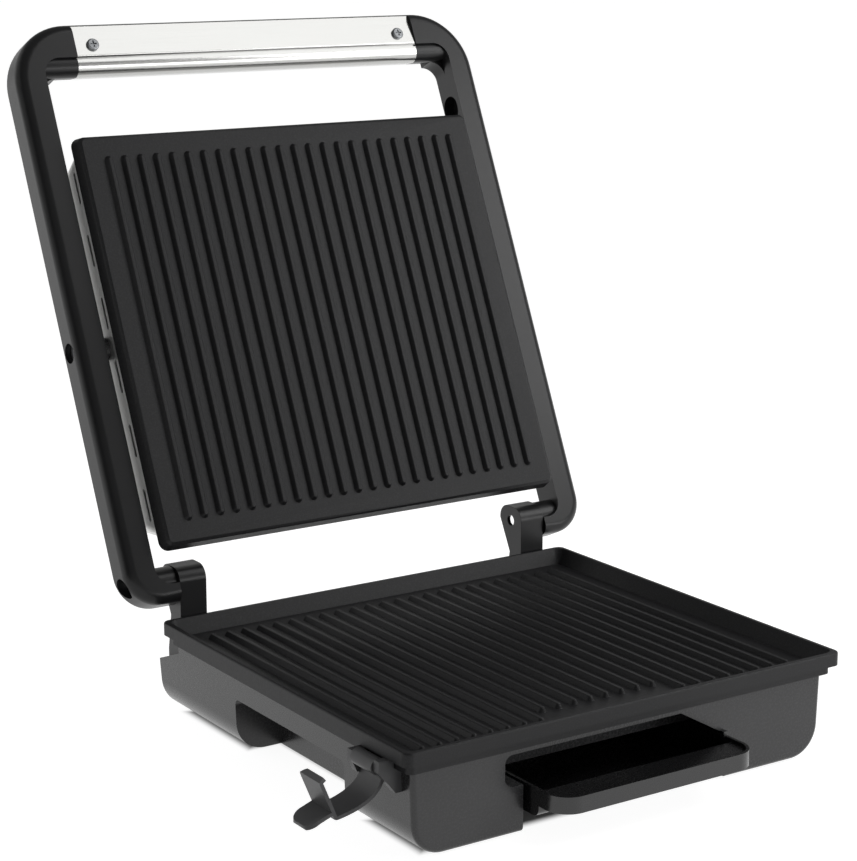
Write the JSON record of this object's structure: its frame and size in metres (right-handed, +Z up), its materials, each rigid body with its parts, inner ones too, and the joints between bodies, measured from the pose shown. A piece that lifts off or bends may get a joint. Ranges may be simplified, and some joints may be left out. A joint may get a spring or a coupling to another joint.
{
  "type": "panini press",
  "caption": "Contact grill with ribbed upper and lower plates, lid on two side arms with a cross handle, floating upper plate, pull-out drip tray and side latch.",
  "frame": {"origin": "on the counter, below the middle of the lower grill plate", "axes": "+Z up, +Y towards the hinge, +X to the right seen from the front; lid open at rest"},
  "size_m": [0.364, 0.4609, 0.4098],
  "materials": {
    "black_plastic": "satin moulded, dark grey black",
    "coated_casting": "die casting with dark non-stick coat",
    "brushed_cover": "brushed stainless sheet",
    "zinc_steel": "zinc plated",
    "element_sheath": "oxidised steel tube",
    "reflector_sheet": "bright sheet",
    "phenolic": "moulded thermoset",
    "foot_rubber": "matte"
  },
  "bodies": {
    "base": {"base_shell": "black_plastic", "bottom_cover": "zinc_steel", "bottom_screws": "zinc_steel", "rubber_feet": "foot_rubber", "terminal_block": "phenolic", "cord_gland": "black_plastic", "lower_grill_plate": "coated_casting", "lower_heating_element": "element_sheath", "lower_reflector": "reflector_sheet", "lower_reflector_screws": "zinc_steel", "lower_thermostat": "phenolic", "thermal_fuse": "zinc_steel", "plate_screws": "zinc_steel", "hinge_bracket_left": "black_plastic", "hinge_bracket_right": "black_plastic", "bracket_screws": "zinc_steel", "hinge_pin_left": "zinc_steel", "hinge_pin_right": "zinc_steel", "latch_bracket": "black_plastic", "latch_screws": "zinc_steel", "latch_pin": "zinc_steel"},
    "lid_frame": {"arm_left": "black_plastic", "arm_right": "black_plastic", "handle_grip": "brushed_cover", "handle_core": "black_plastic", "handle_screws": "zinc_steel"},
    "upper_unit": {"upper_grill_plate": "coated_casting", "upper_cover": "brushed_cover", "upper_cover_screws": "zinc_steel", "upper_heating_element": "element_sheath", "upper_reflector": "reflector_sheet", "upper_reflector_screws": "zinc_steel", "upper_thermostat": "phenolic", "pivot_boss_left": "black_plastic", "pivot_boss_right": "black_plastic", "pivot_screw_left": "zinc_steel", "pivot_screw_right": "zinc_steel", "pivot_strap_left": "zinc_steel", "pivot_strap_right": "zinc_steel", "strap_screws": "zinc_steel"},
    "tray": {"drip_tray": "black_plastic"},
    "latch": {"latch_lever": "black_plastic"}
  },
  "joints": [
    {"name": "lid_hinge", "type": "hinge", "parent": "base", "child": "lid_frame", "pos_m": [0, 0.148, 0.0835], "axis": [1, 0, 0], "range_deg": [0, 112]},
    {"name": "plate_float", "type": "hinge", "parent": "lid_frame", "child": "upper_unit", "pos_m": [0, 0.20917, 0.21772], "axis": [1, 0, 0], "range_deg": [0, 5]},
    {"name": "tray_slide", "type": "slide", "parent": "base", "child": "tray", "axis": [0, -1, 0], "range_m": [0, 0.09]},
    {"name": "latch_swing", "type": "hinge", "parent": "base", "child": "latch", "pos_m": [-0.1525, -0.102, 0.051], "axis": [0, 1, 0], "range_deg": [0, 60]}
  ]
}
